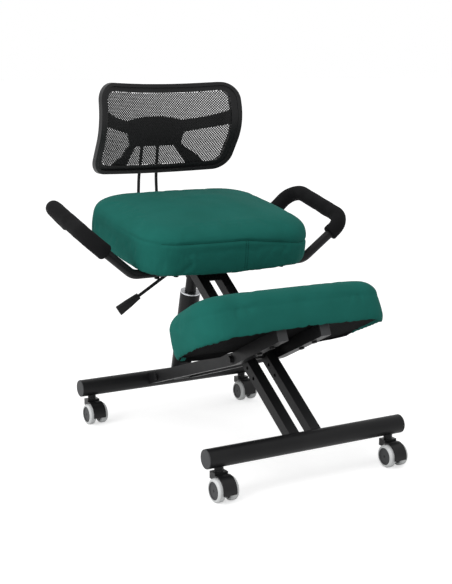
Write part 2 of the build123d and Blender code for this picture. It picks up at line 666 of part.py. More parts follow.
def pad_outline(width, depth, bow, corner, draw=0.0):
    """Outline with bowed sides and round corners, drawn in all round."""
    x, y = width / 2 - draw, depth / 2 - draw
    a, b = x - bow, y - bow
    sides = [
        ThreePointArc((-a, -b), (0, -y), (a, -b)),
        ThreePointArc((a, -b), (x, 0), (a, b)),
        ThreePointArc((a, b), (0, y), (-a, b)),
        ThreePointArc((-a, b), (-x, 0), (-a, -b)),
    ]
    face = make_face(sides)
    return fillet(face.vertices(), corner * y / (depth / 2))


def cushion(plane, size, thickness, boxing):
    """Crowned pad with a drawn-in hem, a boxing seam pulled in, round shoulders and a board pocket."""
    half_depth = size[1] / 2
    levels = [(HEM_DRAW, 0), (HEM_DRAW / 4, HEM_RISE / 3), (0, HEM_RISE), (0, boxing - SEAM_HALF_WIDTH)]
    levels += [(SEAM_DEPTH, boxing), (0, boxing + SEAM_HALF_WIDTH)]
    base, rise = boxing + SEAM_HALF_WIDTH, thickness - boxing - SEAM_HALF_WIDTH
    for turn in SHOULDER_TURNS:
        draw = SHOULDER_IN * half_depth * (1 - cos(radians(turn)))
        levels.append((draw, base + SHOULDER_RISE * rise * sin(radians(turn))))
    levels.append((CROWN_IN * half_depth, thickness))
    sections = [Pos(0, 0, z) * pad_outline(*size, draw) for draw, z in levels]
    pocket = extrude(pad_outline(*size, BOARD_MARGIN - SOFT_GAP), BOARD_T + SOFT_GAP)
    return plane * (loft(sections, ruled=True) - pocket)


def board(plane, size):
    return extrude(plane * pad_outline(*size, BOARD_MARGIN), BOARD_T)


def dust_cover(plane, size):
    """Thin cloth under a board, reaching over the cushion's hem."""
    return extrude(plane * pad_outline(*size, (BOARD_MARGIN + HEM_DRAW) / 2), -DUST_COVER_T)


BRACKET_TO = SEAT_DEPTH / 2 - BRACKET_INSET
BRACKET_FROM = BRACKET_TO - BRACKET_LENGTH
BACK_SHIFT = Vector(0, SEAT_DEPTH / 2 - BACK_DATUM, 0)
SEAT_SIZE = (SEAT_WIDTH, SEAT_DEPTH, SEAT_BOW, SEAT_CORNER)
KNEE_SIZE = (KNEE_WIDTH, KNEE_DEPTH, KNEE_BOW, KNEE_CORNER)


# Arm loops

LEG_Z = -DUST_COVER_T - LOOP_TUBE_D / 2 - FIT
LOOP_BEND_OUT = SEAT_WIDTH / 2 + LOOP_BEND_GAP
LOOP_OUT = SEAT_WIDTH / 2 + LOOP_REACH


def loop_points():
    """Corners of the right-hand arm loop, from its front leg to its rear leg."""
    local = [
        (LOOP_LEG_IN, -LOOP_FRONT, LEG_Z),
        (LOOP_BEND_OUT, -LOOP_FRONT, LEG_Z),
        (LOOP_OUT, -LOOP_FRONT, LOOP_FRONT_RISE),
        (LOOP_OUT, LOOP_REAR, LOOP_REAR_RISE),
        (LOOP_BEND_OUT, LOOP_REAR, LEG_Z),
        (LOOP_LEG_IN, LOOP_REAR, LEG_Z),
    ]
    return [seat_plane.from_local_coords(point) for point in local]


def arm_loop():
    """Bent steel tube of the right-hand arm loop."""
    radii = (LOOP_BEND_R, LOOP_CORNER_R, LOOP_CORNER_R, LOOP_BEND_R)
    path = FilletPolyline(*loop_points(), radius=radii)
    loop = swept(path, LOOP_TUBE_D, LOOP_TUBE_D - 2 * TUBE_WALL)
    for x, y in loop_screw_places():
        loop -= seat_screw_bar(x, y, SCREW_D + 2 * FIT)
    return loop


def arm_grip():
    """Foam sleeve over both corners of the right-hand loop."""
    points = loop_points()
    start = points[1] + (points[2] - points[1]) * GRIP_FRONT_SHARE
    end = points[4] + (points[3] - points[4]) * GRIP_REAR_SHARE
    path = FilletPolyline(start, points[2], points[3], end, radius=LOOP_CORNER_R)
    return swept(path, GRIP_D, LOOP_TUBE_D + 2 * FIT)


# Seat plate, screws and back bracket

def loop_screw_places():
    return [(x, y) for x in LOOP_SCREWS_OUT for y in (-LOOP_FRONT, LOOP_REAR)]


def plate_screw_places():
    x = PLATE_WIDTH / 2 - PLATE_SCREW_INSET
    y = PLATE_LENGTH / 2 - PLATE_SCREW_INSET
    return [(x, y - PLATE_SET_FORWARD), (x, -y - PLATE_SET_FORWARD)]


def bracket_screw_places():
    return [(BRACKET_SCREW_X, (BRACKET_FROM + BRACKET_TO) / 2)]


def seat_screw_bar(x, y, diameter):
    """A bar square to the seat, from below the arm loops up into the board."""
    plane = Plane(seat_plane.from_local_coords((x, y, 0)), z_dir=SEAT_UP)
    return bar(plane, diameter, -SEAT_THICKNESS, SCREW_BITE)


def seat_screw(x, y, low):
    """Screw with its head at a given level under the seat."""
    plane = Plane(seat_plane.from_local_coords((x, y, 0)), z_dir=SEAT_UP)
    return bar(plane, SCREW_D, low, SCREW_BITE) + bar(plane, SCREW_HEAD_D, low - SCREW_HEAD_T, low)


def seat_screws():
    """All screws that hold the plate, the arm loops and the back bracket to the seat board."""
    solids = [seat_screw(x, y, LEG_Z - LOOP_TUBE_D / 2) for x, y in loop_screw_places()]
    solids += [seat_screw(x, y, PLATE_LOW) for x, y in plate_screw_places()]
    solids += [seat_screw(x, y, -DUST_COVER_T - BRACKET_T) for x, y in bracket_screw_places()]
    return solids + [mirrored(solid) for solid in solids]


def drilled(solid, places):
    """A plate or board with its screw holes on both sides."""
    for x, y in places:
        for side in (LEFT, RIGHT):
            solid -= seat_screw_bar(side * x, y, SCREW_D + 2 * FIT)
    return solid


def seat_plate():
    """Steel plate that the main beams are welded to."""
    face = Pos(0, -PLATE_SET_FORWARD) * RectangleRounded(PLATE_WIDTH, PLATE_LENGTH, PLATE_CORNER)
    plate = extrude(seat_plane.offset(PLATE_LOW) * face, PLATE_T)
    return drilled(plate, plate_screw_places())


def back_bracket():
    """Steel plate that the back rods are welded to."""
    level = (-DUST_COVER_T - BRACKET_T, -DUST_COVER_T)
    half = BRACKET_WIDTH / 2
    plate = block(seat_plane, (-half, half), (BRACKET_FROM, BRACKET_TO), level)
    return drilled(plate, bracket_screw_places())


ALL_SCREW_PLACES = loop_screw_places() + plate_screw_places() + bracket_screw_places()


# Back rest, drawn about the middle of the seat's underside and then moved there

def back_outline(inset):
    """Front view of the back frame, drawn in by an inset."""
    x = BACK_HALF_WIDTH - inset
    top, bottom = BACK_TOP - inset, BACK_BOTTOM + inset
    middle = (top + bottom) / 2
    sides = [
        ThreePointArc((-x, top), (0, top - BACK_EDGE_SAG), (x, top)),
        ThreePointArc((x, top), (x + BACK_SIDE_BOW, middle), (x, bottom)),
        ThreePointArc((x, bottom), (0, bottom - BACK_EDGE_SAG), (-x, bottom)),
        ThreePointArc((-x, bottom), (-x - BACK_SIDE_BOW, middle), (-x, top)),
    ]
    face = make_face(sides)
    face = fillet(face.vertices().group_by(Axis.Y)[-1], BACK_TOP_CORNER - inset)
    low = [vertex for vertex in face.vertices() if vertex.Y < bottom + BACK_EDGE_SAG / 2]
    return fillet(low, BACK_BOTTOM_CORNER - inset)


def front_prism(face):
    """A front-view outline carried through the whole depth of the back."""
    depth = BACK_BOTTOM_Y + BACK_WRAP + PANEL_Y
    return extrude(Plane.XZ * face, depth, both=True)


def back_slab(front, back):
    """Doubly curved sheet: the side profile carried across the wrap, between two offsets in depth."""
    reach = BACK_HALF_WIDTH + BACK_SIDE_BOW + RIM_WIDTH
    spare = BACK_EDGE_SAG + RIM_WIDTH
    slope = (BACK_BOTTOM_Y - BACK_KNEE[0]) / (BACK_KNEE[1] - BACK_BOTTOM)
    top = (BACK_TOP_Y, BACK_TOP + spare)
    bottom = (BACK_BOTTOM_Y + slope * spare, BACK_BOTTOM - spare)
    sections = []
    for share in (-1.0, -0.5, 0.0, 0.5, 1.0):
        x = reach * share
        wrap = BACK_WRAP * (1 - (x / BACK_HALF_WIDTH) ** 2)
        faces = []
        for offset in (front, back):
            points = [(x, y + wrap + offset, z) for y, z in (top, BACK_KNEE, bottom)]
            faces.append(FilletPolyline(*points, radius=BACK_PROFILE_R))
        ends = [Line(faces[0] @ end, faces[1] @ end) for end in (0, 1)]
        sections.append(make_face(faces[0].edges() + faces[1].edges() + ends))
    return loft(sections)


def on_back(solid):
    return Pos(SEAT_ORIGIN + BACK_SHIFT) * solid


def back_frame():
    """Moulded frame: a deep rim outside and a shallow lip inside that holds the mesh."""
    rim = front_prism(back_outline(0) - back_outline(RIM_WIDTH)) & back_slab(-RIM_FRONT, RIM_BACK)
    lip = front_prism(back_outline(RIM_WIDTH - FIT) - back_outline(RIM_WIDTH + LIP_WIDTH))
    return on_back(rim + (lip & back_slab(-LIP_FRONT, LIP_BACK)))


def mesh_opening():
    return front_prism(back_outline(RIM_WIDTH + LIP_WIDTH + FIT))


def back_mesh():
    """Stretched net inside the frame's lip."""
    return on_back(mesh_opening() & back_slab(0, MESH_T))


def panel_outline():
    """Front view of the lumbar support: body, two wings and two splayed legs."""
    wing_x = PANEL_WING[0]
    right = [
        (wing_x, WING_TOP),
        (wing_x, WING_BOTTOM),
        (PANEL_BODY_X, BODY_SHOULDER),
        BODY_WAIST,
        (LEG_OUT, BACK_BOTTOM),
        (LEG_IN, BACK_BOTTOM),
        WINDOW_TOP,
    ]
    left = [(-x, z) for x, z in reversed(right)]
    dip, crown = (BODY_DIP_X, BODY_DIP), (0, BODY_TOP)
    mirror_dip, mirror_mid = (-BODY_DIP_X, BODY_DIP), (-WING_MID[0], WING_MID[1])
    edges = [
        Polyline(*right, *left),
        ThreePointArc(left[-1], mirror_mid, mirror_dip),
        ThreePointArc(mirror_dip, crown, dip),
        ThreePointArc(dip, WING_MID, right[0]),
    ]
    face = make_face(edges)
    inner = [v for v in face.vertices() if abs(v.X) < PANEL_BODY_X + FIT and v.Y < BODY_DIP - PANEL_CORNER]
    return fillet(inner, PANEL_CORNER)


def rod_points():
    """Route of the right-hand back rod, about the middle of the seat's underside."""
    under = -DUST_COVER_T - BRACKET_T - ROD_D / 2 - FIT
    start = SEAT_REAR * BRACKET_FROM + SEAT_UP * under - BACK_SHIFT
    corner = start + SEAT_REAR * ((ROD_REAR_Y - start.Y) / SEAT_REAR.Y)
    return [
        Vector(ROD_LOW_X, start.Y, start.Z),
        Vector(ROD_LOW_X, corner.Y, corner.Z),
        Vector((ROD_LOW_X + ROD_HIGH_X) / 2, ROD_REAR_Y, ROD_STRAIGHT_TO),
        Vector(ROD_HIGH_X, *ROD_TOP),
    ]


def back_rod():
    path = FilletPolyline(*rod_points(), radius=(ROD_BEND_R, ROD_UPPER_R))
    return on_back(swept(path, ROD_D))


def rod_socket():
    """Boss and web behind the lumbar body that take the end of a rod."""
    points = rod_points()
    along = (points[-1] - points[-2]).normalized()
    plane = Plane(points[-1], z_dir=along)
    socket = bar(plane, SOCKET_D, -SOCKET_LENGTH, SOCKET_WEB / 2)
    half = SOCKET_WEB / 2
    x = (ROD_HIGH_X - half, ROD_HIGH_X + half)
    y = (PANEL_Y, points[-1].Y)
    return socket + block(Plane.XY, x, y, (points[-1].Z - SOCKET_LENGTH + SOCKET_WEB, points[-1].Z))


def lumbar_panel():
    """Moulded support behind the net: flat body, wings bent to the frame, legs that follow the net."""
    wing_x, wing_y = PANEL_WING
    plan = [(-wing_x, wing_y), (-PANEL_BODY_X, PANEL_Y), (PANEL_BODY_X, PANEL_Y), (wing_x, wing_y)]
    path = FilletPolyline(*[(x, y, BACK_BOTTOM) for x, y in plan], radius=PANEL_BEND_R)
    height = BACK_TOP - BACK_BOTTOM
    section = Plane(origin=path @ 0, x_dir=(0, 0, 1), z_dir=path % 0) * Pos(height / 2, 0)
    sheet = sweep(section * Rectangle(height, PANEL_T), path=path)
    far = 2 * PANEL_Y
    ends = Polyline(path @ 1, (wing_x, far, BACK_BOTTOM), (-wing_x, far, BACK_BOTTOM), path @ 0)
    behind = extrude(make_face(path.edges() + ends.edges()), height, dir=(0, 0, 1))
    clear = MESH_T + SOFT_GAP
    body = sheet - back_slab(-PANEL_Y, clear)
    legs = back_slab(clear, clear + PANEL_T) & behind
    outline = front_prism(panel_outline()) & mesh_opening()
    panel = (body & outline) + (legs & outline)
    bore_d = ROD_D + 2 * FIT
    points = rod_points()
    plane = Plane(points[-1], z_dir=(points[-1] - points[-2]).normalized())
    socket = rod_socket()
    bore = bar(plane, bore_d, -SOCKET_LENGTH, FIT)
    for solid in (socket, mirrored(socket)):
        panel += solid
    return on_back(panel - bore - mirrored(bore))


# Nodes of the assembly

nodes = {
    "front_foot_tube": foot_tube(FRONT_FOOT),
    "front_plugs": foot_caps(FRONT_FOOT),
    "front_caster_stems": stem_solids(FRONT_FOOT),
    "beam_tie": beam_tie(),
    "front_fasteners": front_bolts() + seat_screws(),
    "seat_plate": seat_plate(),
    "seat_board": drilled(board(seat_plane, SEAT_SIZE), ALL_SCREW_PLACES),
    "seat_dust_cover": drilled(dust_cover(seat_plane, SEAT_SIZE), ALL_SCREW_PLACES),
    "seat_cushion": cushion(seat_plane, SEAT_SIZE, SEAT_THICKNESS, SEAT_BOXING),
    "back_bracket": back_bracket(),
    "back_rods": [back_rod(), mirrored(back_rod())],
    "lumbar_panel": lumbar_panel(),
    "back_frame": back_frame(),
    "back_mesh": back_mesh(),
    "rear_foot_tube": foot_tube(REAR_FOOT),
    "rear_plugs": foot_caps(REAR_FOOT) + [arm_plug(), mirrored(arm_plug())],
    "rear_caster_stems": stem_solids(REAR_FOOT),
    "knee_tie": knee_tie(),
    "rear_fasteners": rear_bolts(),
    "knee_board": board(knee_plane, KNEE_SIZE),
    "knee_dust_cover": dust_cover(knee_plane, KNEE_SIZE),
    "knee_cushion": cushion(knee_plane, KNEE_SIZE, KNEE_THICKNESS, KNEE_BOXING),
    "column_foot": column_foot(),
    "column_tube": column_tube(),
    "column_guide": column_guide(),
    "piston_rod": piston_rod(),
    "gas_cylinder": gas_cylinder(),
    "column_head": column_head(),
    "lever_pin": lever_pin_bar(0),
    "lever_rod": lever_rod(),
    "lever_knob": lever_knob(),
    "release_button": release_button(),
}
PAIRED = {"main_beam": main_beam, "knee_arm": knee_arm, "arm_loop": arm_loop, "arm_grip": arm_grip}
for name, make in PAIRED.items():
    nodes[name + "_right"] = make()
    nodes[name + "_left"] = mirrored(nodes[name + "_right"])
for back in KNEE_SCREW_BACK:
    for node in ("knee_board", "knee_dust_cover"):
        hole = knee_screw_hole(back)
        nodes[node] = nodes[node] - hole - mirrored(hole)
for end, foot in (("front", FRONT_FOOT), ("rear", REAR_FOOT)):
    for hand, side in SIDES.items():
        place = Pos(side * CASTER_OUT, foot.Y, 0)
        caster = "caster_" + end + "_" + hand
        nodes[caster + "_hood"] = place * caster_hood()
        for wheel, wheel_side in (("inner", -side), ("outer", side)):
            hub, tyre = caster_wheel(wheel_side)
            nodes[caster + "_" + wheel + "_hub"] = place * hub
            nodes[caster + "_" + wheel + "_tyre"] = place * tyre


def solids_of(node):
    items = node if isinstance(node, list) else [node]
    return [solid for item in items for solid in item.solids()]


boxes = [solid.bounding_box() for node in nodes.values() for solid in solids_of(node)]
ORIGIN_SHIFT = -(min(box.min.Y for box in boxes) + max(box.max.Y for box in boxes)) / 2

os.makedirs("parts", exist_ok=True)
for name, node in nodes.items():
    group = Compound([Pos(0, ORIGIN_SHIFT, 0) * solid for solid in solids_of(node)])
    export_step(group, "parts/" + name + ".step")
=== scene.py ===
import json
import math

import bmesh
import bpy
import numpy as np
from mathutils import Matrix, Vector, noise
from mathutils.bvhtree import BVHTree


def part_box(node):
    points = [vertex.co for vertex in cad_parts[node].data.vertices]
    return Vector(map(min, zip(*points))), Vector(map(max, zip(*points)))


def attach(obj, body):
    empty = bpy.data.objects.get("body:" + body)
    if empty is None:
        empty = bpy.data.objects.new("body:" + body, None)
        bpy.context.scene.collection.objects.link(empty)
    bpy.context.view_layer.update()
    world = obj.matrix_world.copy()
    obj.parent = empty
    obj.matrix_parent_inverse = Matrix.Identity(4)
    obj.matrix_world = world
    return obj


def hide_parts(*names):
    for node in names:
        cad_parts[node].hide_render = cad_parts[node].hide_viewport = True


# Kneeling chair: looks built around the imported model. Metres, +Z up, the sitter faces -Y.

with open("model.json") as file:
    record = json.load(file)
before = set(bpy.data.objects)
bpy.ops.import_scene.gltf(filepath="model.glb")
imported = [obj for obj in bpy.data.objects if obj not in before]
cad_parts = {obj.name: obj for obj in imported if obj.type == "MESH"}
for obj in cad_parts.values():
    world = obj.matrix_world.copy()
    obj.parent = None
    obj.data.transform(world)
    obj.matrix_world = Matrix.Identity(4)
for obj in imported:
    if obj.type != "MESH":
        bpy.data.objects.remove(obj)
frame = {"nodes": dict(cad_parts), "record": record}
nodes = frame["nodes"]
bodies = frame["record"]["behaviour"]["bodies"]
body_of_node = {node: body for body, members in bodies.items() for node in members}
slot_of_node = {s["node"]: s["material_slot"] for s in frame["record"]["subparts"]}
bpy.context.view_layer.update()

# Planes that the soft pieces are drawn on: the middle of a pad's underside, and its tilt
SEAT_ORIGIN, SEAT_TILT = Vector((0, 0.131686, 0.449313)), math.radians(9.5)
KNEE_ORIGIN, KNEE_TILT = Vector((0, -0.246621, 0.298886)), math.radians(-26.0)


def plane_matrix(origin, tilt):
    return Matrix.Translation(origin) @ Matrix.Rotation(tilt, 4, "X")


SEAT = plane_matrix(SEAT_ORIGIN, SEAT_TILT)
KNEE = plane_matrix(KNEE_ORIGIN, KNEE_TILT)


# Materials

TONE_SPREAD = (0.32, 0.68)    # noise values at which the two tones are full
FINE_GRAIN = 0.0002           # depth of the grain on coat, plastic and tyres
SHEEN_TINT = (0.55, 0.85, 0.78, 1)
SHEEN_ROUGH = 0.4


def shader_of(mat):
    return mat.node_tree.nodes["Principled BSDF"]


def new_material(name, base, rough, metallic=0.0, specular=0.5):
    mat = bpy.data.materials.new(name)
    mat.use_nodes = True
    shader = shader_of(mat)
    shader.inputs["Base Color"].default_value = (*base, 1)
    shader.inputs["Roughness"].default_value = rough
    shader.inputs["Metallic"].default_value = metallic
    shader.inputs["Specular IOR Level"].default_value = specular
    return mat


def add_node(mat, kind, **values):
    node = mat.node_tree.nodes.new(kind)
    for key, value in values.items():
        node.inputs[key].default_value = value
    return node


def link(mat, out_node, out_socket, in_node, in_socket):
    mat.node_tree.links.new(out_node.outputs[out_socket], in_node.inputs[in_socket])


def object_coords(mat):
    found = mat.node_tree.nodes.get("Coords")
    if found is None:
        found = add_node(mat, "ShaderNodeTexCoord")
        found.name = "Coords"
    return found


def noise_texture(mat, scale, detail, rough=0.5):
    node = add_node(mat, "ShaderNodeTexNoise", Scale=scale, Detail=detail, Roughness=rough)
    link(mat, object_coords(mat), "Object", node, "Vector")
    return node


def vary_colour(mat, low, high, scale, detail=3.0):
    """Base colour that drifts between two tones."""
    texture = noise_texture(mat, scale, detail)
    tones = add_node(mat, "ShaderNodeValToRGB")
    for element, position, tone in zip(tones.color_ramp.elements, TONE_SPREAD, (low, high)):
        element.position = position
        element.color = (*tone, 1)
    link(mat, texture, "Fac", tones, "Fac")
    link(mat, tones, "Color", shader_of(mat), "Base Color")


def vary_rough(mat, low, high, scale):
    """Roughness that drifts between two values."""
    texture = noise_texture(mat, scale, detail=4.0)
    span = add_node(mat, "ShaderNodeMapRange")
    span.inputs["To Min"].default_value = low
    span.inputs["To Max"].default_value = high
    link(mat, texture, "Fac", span, "Value")
    link(mat, span, "Result", shader_of(mat), "Roughness")


def add_bump(mat, texture, socket, strength, distance):
    """Bump from a texture, over any bump that is there already."""
    bump = add_node(mat, "ShaderNodeBump", Strength=strength, Distance=distance)
    link(mat, texture, socket, bump, "Height")
    normal = shader_of(mat).inputs["Normal"]
    if normal.is_linked:
        link(mat, normal.links[0].from_node, "Normal", bump, "Normal")
    link(mat, bump, "Normal", shader_of(mat), "Normal")


def add_grain(mat, scale, strength, distance, detail=2.0, rough=0.5):
    texture = noise_texture(mat, scale, detail, rough)
    add_bump(mat, texture, "Fac", strength, distance)


def add_cells(mat, scale, strength, distance):
    """Fine cells, which stand for stitches or for foam."""
    cells = add_node(mat, "ShaderNodeTexVoronoi", Scale=scale)
    link(mat, object_coords(mat), "Object", cells, "Vector")
    add_bump(mat, cells, "Distance", strength, distance)


def tinted(base, share):
    return [min(1, c * share) for c in base]


def powder_coat():
    mat = new_material("frame_black_coat", (0.008, 0.008, 0.0087), rough=0.42, specular=0.17)
    vary_colour(mat, (0.0062, 0.0062, 0.0068), (0.0095, 0.0096, 0.0102), scale=9.0)
    vary_rough(mat, 0.36, 0.5, scale=40.0)
    add_grain(mat, scale=1400.0, strength=0.12, distance=FINE_GRAIN)
    return mat


def moulded(name, base, rough, grain):
    mat = new_material(name, base, rough, specular=0.22)
    vary_colour(mat, tinted(base, 0.85), tinted(base, 1.2), scale=14.0)
    vary_rough(mat, rough - 0.06, rough + 0.08, scale=55.0)
    add_grain(mat, grain, strength=0.2, distance=FINE_GRAIN, rough=0.6)
    return mat


def bright_metal(name, base, rough):
    mat = new_material(name, base, rough, metallic=1.0)
    vary_colour(mat, tinted(base, 0.85), tinted(base, 1.1), scale=60.0)
    vary_rough(mat, rough - 0.08, rough + 0.1, scale=120.0)
    return mat


def plain_wood():
    mat = new_material("board_wood_raw", (0.46, 0.34, 0.22), rough=0.7)
    vary_colour(mat, (0.36, 0.25, 0.15), (0.55, 0.42, 0.28), scale=30.0, detail=8.0)
    return mat


def knit(name, low, high, sheen, specular=0.06):
    """Close stretch knit: fine stitches, soft sheen and a slow drift of tone."""
    mat = new_material(name, high, rough=0.85, specular=specular)
    shader = shader_of(mat)
    shader.inputs["Sheen Weight"].default_value = sheen
    shader.inputs["Sheen Roughness"].default_value = SHEEN_ROUGH
    shader.inputs["Sheen Tint"].default_value = SHEEN_TINT
    vary_colour(mat, low, high, scale=16.0, detail=6.0)
    add_cells(mat, scale=900.0, strength=0.35, distance=0.0004)
    add_grain(mat, scale=240.0, strength=0.12, distance=0.0006, detail=3.0)
    return mat


def foam_skin():
    mat = new_material("grip_foam_skin", (0.007, 0.007, 0.0076), rough=0.8, specular=0.07)
    vary_colour(mat, (0.0058, 0.0058, 0.0062), (0.0088, 0.0088, 0.0094), scale=30.0)
    add_cells(mat, scale=1100.0, strength=0.3, distance=0.0004)
    add_grain(mat, scale=90.0, strength=0.15, distance=0.001, detail=3.0)
    return mat


def soft_grey(name, low, high, rough):
    mat = new_material(name, high, rough)
    vary_colour(mat, low, high, scale=35.0)
    add_grain(mat, scale=900.0, strength=0.12, distance=FINE_GRAIN)
    return mat


MATERIALS = {
    "frame_black": powder_coat(),
    "bright_steel": bright_metal("bright_steel_zinc", (0.55, 0.56, 0.58), 0.32),
    "plug_grey": moulded("plug_grey_plastic", (0.042, 0.043, 0.045), 0.55, 1200.0),
    "board_wood": plain_wood(),
    "dust_cloth": knit("dust_cloth_black", (0.004, 0.004, 0.0043), (0.0065, 0.0065, 0.0069),
                       sheen=0.0, specular=0.02),
    "green_fabric": knit("green_stretch_knit", (0.0104, 0.104, 0.0845), (0.0122, 0.116, 0.0955),
                         sheen=0.03, specular=0.05),
    # Darker green for the stitches, and for the bar along the seat's seam fold, which is painted
    # shade of the crease
    "thread_and_crease_shade": knit("thread_and_crease_shade_green", (0.004, 0.042, 0.034), (0.0055, 0.052, 0.043),
                        sheen=0.0),
    "grip_foam": foam_skin(),
    "back_plastic": moulded("back_plastic_black", (0.0075, 0.0075, 0.008), 0.46, 1500.0),
    "mesh_net": moulded("mesh_net_yarn", (0.01, 0.01, 0.0105), 0.7, 2500.0),
    "caster_plastic": moulded("caster_plastic_black", (0.0075, 0.0075, 0.008), 0.34, 1800.0),
    "hub_grey": moulded("hub_dark_grey", (0.032, 0.033, 0.035), 0.42, 1500.0),
    "tyre_grey": soft_grey("tyre_light_grey", (0.5, 0.51, 0.51), (0.6, 0.61, 0.61), 0.6),
}


# Helpers for pieces and shapes

def add_object(name, data):
    obj = bpy.data.objects.new(name, data)
    bpy.context.scene.collection.objects.link(obj)
    return obj


def smooth_shading(mesh, degrees):
    """Smooth faces, with edges kept sharp where they turn by more than some degrees."""
    for polygon in mesh.polygons:
        polygon.use_smooth = True
    mesh.set_sharp_from_angle(angle=math.radians(degrees))


def give(obj, mat):
    obj.data.materials.clear()
    obj.data.materials.append(mat)


def new_piece(name, vertices, faces, mat, body, matrix=None):
    mesh = bpy.data.meshes.new(name)
    mesh.from_pydata([tuple(v) for v in vertices], [], faces)
    mesh.validate()
    if matrix is not None:
        mesh.transform(matrix)
    mesh.update()
    obj = add_object(name, mesh)
    give(obj, mat)
    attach(obj, body)
    return obj


def band(low, high, count):
    """Faces between two closed rings of points, each given by its first point's index."""
    steps = [(i, (i + 1) % count) for i in range(count)]
    return [(low + i, low + j, high + j, high + i) for i, j in steps]


def fan(tip, ring, count):
    """Faces between one point and a closed ring."""
    return [(tip, ring + i, ring + (i + 1) % count) for i in range(count)]


def coordinates(mesh):
    co = np.zeros(len(mesh.vertices) * 3)
    mesh.vertices.foreach_get("co", co)
    return co.reshape(-1, 3)


def evaluated_mesh(obj):
    graph = bpy.context.evaluated_depsgraph_get()
    return bpy.data.meshes.new_from_object(obj.evaluated_get(graph))


def tree_of(obj):
    points = [v.co.copy() for v in obj.data.vertices]
    return BVHTree.FromPolygons(points, [tuple(p.vertices) for p in obj.data.polygons])


def ramp(value, low, high):
    """Straight rise from 0 at low to 1 at high."""
    return min(1.0, max(0.0, (value - low) / (high - low)))


def bell(distance, width):
    """1 at no distance, and smoothly less over some width."""
    return math.exp(-(distance / width) ** 2)


def ring_noise(angle, scale, seed):
    """Noise round an outline, which closes on itself."""
    return noise.noise(Vector((math.cos(angle) * scale, math.sin(angle) * scale, seed)))


# Rigid nodes: each one's own shape, with its edges eased

BEVEL = 0.0008
TYRE_BEVEL = 0.002
BEVEL_DEGREES = 35
SHARP_DEGREES = 32
FLAT_DEGREES = 1.0    # faces that turn by less than this are joined
WELD = 2e-6
SOFT_NODES = ("seat_cushion", "knee_cushion", "seat_dust_cover", "knee_dust_cover", "back_mesh",
              "arm_grip_left", "arm_grip_right")


def dressed(name, width):
    mesh = nodes[name].data.copy()
    work = bmesh.new()
    work.from_mesh(mesh)
    bmesh.ops.remove_doubles(work, verts=work.verts, dist=WELD)
    bmesh.ops.dissolve_limit(work, angle_limit=math.radians(FLAT_DEGREES),
                             verts=work.verts, edges=work.edges)
    work.to_mesh(mesh)
    work.free()
    if mesh.attributes.get("custom_normal"):
        mesh.attributes.remove(mesh.attributes["custom_normal"])
    obj = add_object(name + "_finish", mesh)
    smooth_shading(mesh, SHARP_DEGREES)
    bevel = obj.modifiers.new("edges", "BEVEL")
    bevel.width = width
    bevel.segments = 2
    bevel.limit_method = "ANGLE"
    bevel.angle_limit = math.radians(BEVEL_DEGREES)
    bevel.harden_normals = True
    bevel.use_clamp_overlap = True
    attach(obj, body_of_node[name])
    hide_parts(name)


for name in nodes:
    give(nodes[name], MATERIALS[slot_of_node[name]])
for name in sorted(nodes):
    if name not in SOFT_NODES:
        dressed(name, TYRE_BEVEL if name.endswith("_tyre") else BEVEL)


# Cushions, drawn on the same outlines as their solids. The hangs are how far the hem drops at the
# left end, in the middle and at the right end.

SEAT_PAD = {
    "width": 0.464, "depth": 0.386, "bow": 0.011, "corner": 0.084,
    "thickness": 0.117, "boxing": 0.062,
    "seam_depth": 0.0036, "seam_rise": 0.009, "seam_dip": 0.022,
    "ruffle": 0.0018, "hang_front": (0.004, 0.01, 0.005), "hang_rear": (0.0, 0.0, 0.0),
    "seed": 1.7,
}
KNEE_PAD = {
    "width": 0.482, "depth": 0.222, "bow": 0.009, "corner": 0.064,
    "thickness": 0.1, "boxing": 0.048,
    "seam_depth": 0.0008, "seam_rise": 0.0, "seam_dip": 0.0,
    "ruffle": 0.0022, "hang_front": (0.016, 0.01, 0.014), "hang_rear": (0.011, 0.006, 0.004),
    "seed": 5.3,
}

# Section of a pad, and the steps that it is drawn in
HEM_DRAW, HEM_RISE, HEM_STEPS = 0.012, 0.01, 4
SHOULDER_IN = 0.36                  # share of half the depth
SHOULDER_RISE = 0.8                 # share of the height over the boxing
SHOULDER_TURN, SHOULDER_STEPS = math.radians(80), 8
CROWN_REACH, CROWN_STEPS = 0.84, 6
UNDERSIDE_SHARES = (0.4, 0.75)
OUTLINE_STEPS = (8, 16, 12)         # half a side, a corner, half an end

# From the start shape to the cloth
START_INSET = 0.002
VOXEL = 0.0055
CLOTH = {"quality": 4, "mass": 0.3, "tension_stiffness": 12, "compression_stiffness": 12,
         "bending_stiffness": 0.8, "use_pressure": True, "uniform_pressure_force": 4.0}
CLOTH_FRAMES = 20
CLOTH_TRAVEL = 0.005                # the most that the pressure may move a point
CLOTH_HELD = 0.002                  # points below this are held
HEM_FLAT = 0.003                    # points below this stay on the underside
FIT_ROUNDS = 6
PAD_DEGREES = 60

# Sewing: the side of a pad, its seam and its hem
SIDE_REACH = (0.72, 0.92)           # shares of the half width or depth
SEAM_DIP_X = (0.02, 0.2)
SEAM_FACING = (0.1, 0.7)            # how squarely a side faces front before the seam pulls
SEAM_PULL, SEAM_UNEVEN, UNEVEN_SCALE = 0.8, 0.3, 7
SEAM_WIDTH = 0.0034
ROLL_OUT, ROLL_RISE, ROLL_WIDTH = 0.001, 0.012, 0.009
PUCKER_OUT, PUCKER_SCALE, PUCKER_WIDTH = 0.0006, 55, 0.012
RUFFLE_SCALE, TIGHT_SCALE = 16, 41
RUFFLE_OUT, TIGHT_OUT, TIGHT_DOWN = 0.7, 0.4, 0.55
HEM_WIDTH, HANG_WIDTH = 0.012, 0.03
LIP_FROM, LIP_TO = 0.014, 0.005     # the hem starts to hang, and hangs in full, this far inside
HANG_TURN = (-0.4, 0.4)             # shares of the depth, from the front's hang to the rear's
ARM_CLEAR = (0.074, 0.1)            # the rear hem hangs only clear of the knee arms


